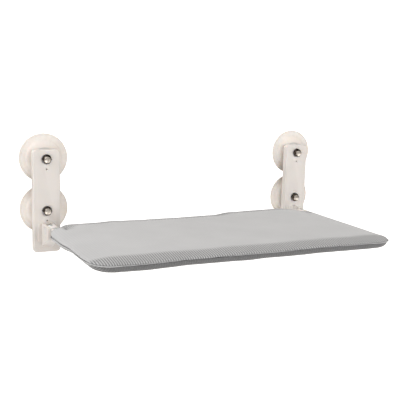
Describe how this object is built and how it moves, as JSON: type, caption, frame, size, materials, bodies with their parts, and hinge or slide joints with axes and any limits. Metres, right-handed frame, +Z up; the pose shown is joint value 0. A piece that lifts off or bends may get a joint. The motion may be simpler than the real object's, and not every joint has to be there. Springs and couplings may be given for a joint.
{
  "type": "window pet perch",
  "caption": "Folding window perch for a cat: a flat fabric-covered shelf hinged on two brackets that suction cups hold on the glass.",
  "frame": {"origin": "middle of the four suction cups, on the plane of the glass", "axes": "+X along the perch's width, to the right as seen from the room; +Y into the glass; +Z up. The perch stands out towards -Y."},
  "size_m": [0.551, 0.3093, 0.1927],
  "materials": {
    "white_plastic": "satin warm white moulded plastic",
    "cup_plastic": "smooth cream soft plastic",
    "grey_plastic": "matt",
    "chrome": "polished",
    "zinc_steel": "zinc plated",
    "coated_steel": "powder coated",
    "foam": "open foam",
    "mesh_fabric": "grey spacer mesh",
    "zip_tape": "woven tape with coil zip"
  },
  "bodies": {
    "brackets": {"bracket_plate_left": "white_plastic", "suction_cup_left_upper": "cup_plastic", "backing_disc_left_upper": "grey_plastic", "cup_stud_left_upper": "zinc_steel", "washer_left_upper": "zinc_steel", "cap_nut_left_upper": "chrome", "suction_cup_left_lower": "cup_plastic", "backing_disc_left_lower": "grey_plastic", "cup_stud_left_lower": "zinc_steel", "washer_left_lower": "zinc_steel", "cap_nut_left_lower": "chrome", "bracket_plate_right": "white_plastic", "suction_cup_right_upper": "cup_plastic", "backing_disc_right_upper": "grey_plastic", "cup_stud_right_upper": "zinc_steel", "washer_right_upper": "zinc_steel", "cap_nut_right_upper": "chrome", "suction_cup_right_lower": "cup_plastic", "backing_disc_right_lower": "grey_plastic", "cup_stud_right_lower": "zinc_steel", "washer_right_lower": "zinc_steel", "cap_nut_right_lower": "chrome"},
    "perch": {"hinge_arm_left": "white_plastic", "hinge_pin_left": "zinc_steel", "retaining_ring_left": "zinc_steel", "lock_screw_left": "zinc_steel", "side_tube_left": "coated_steel", "joint_sleeve_left": "zinc_steel", "tube_screw_left": "zinc_steel", "hinge_arm_right": "white_plastic", "hinge_pin_right": "zinc_steel", "retaining_ring_right": "zinc_steel", "lock_screw_right": "zinc_steel", "side_tube_right": "coated_steel", "joint_sleeve_right": "zinc_steel", "tube_screw_right": "zinc_steel", "front_tube": "coated_steel", "rear_tube": "coated_steel", "foam_pad": "foam", "cover_top": "mesh_fabric", "cover_bottom": "mesh_fabric", "zip": "zip_tape"},
    "slider": {"zip_slider": "zinc_steel"}
  },
  "joints": [
    {"name": "perch_fold", "type": "hinge", "parent": "brackets", "child": "perch", "pos_m": [0, -0.047, -0.07], "axis": [-1, 0, 0], "range_deg": [0, 90]},
    {"name": "zip_slide", "type": "slide", "parent": "perch", "child": "slider", "axis": [1, 0, 0], "range_m": [0, 0.3]}
  ]
}
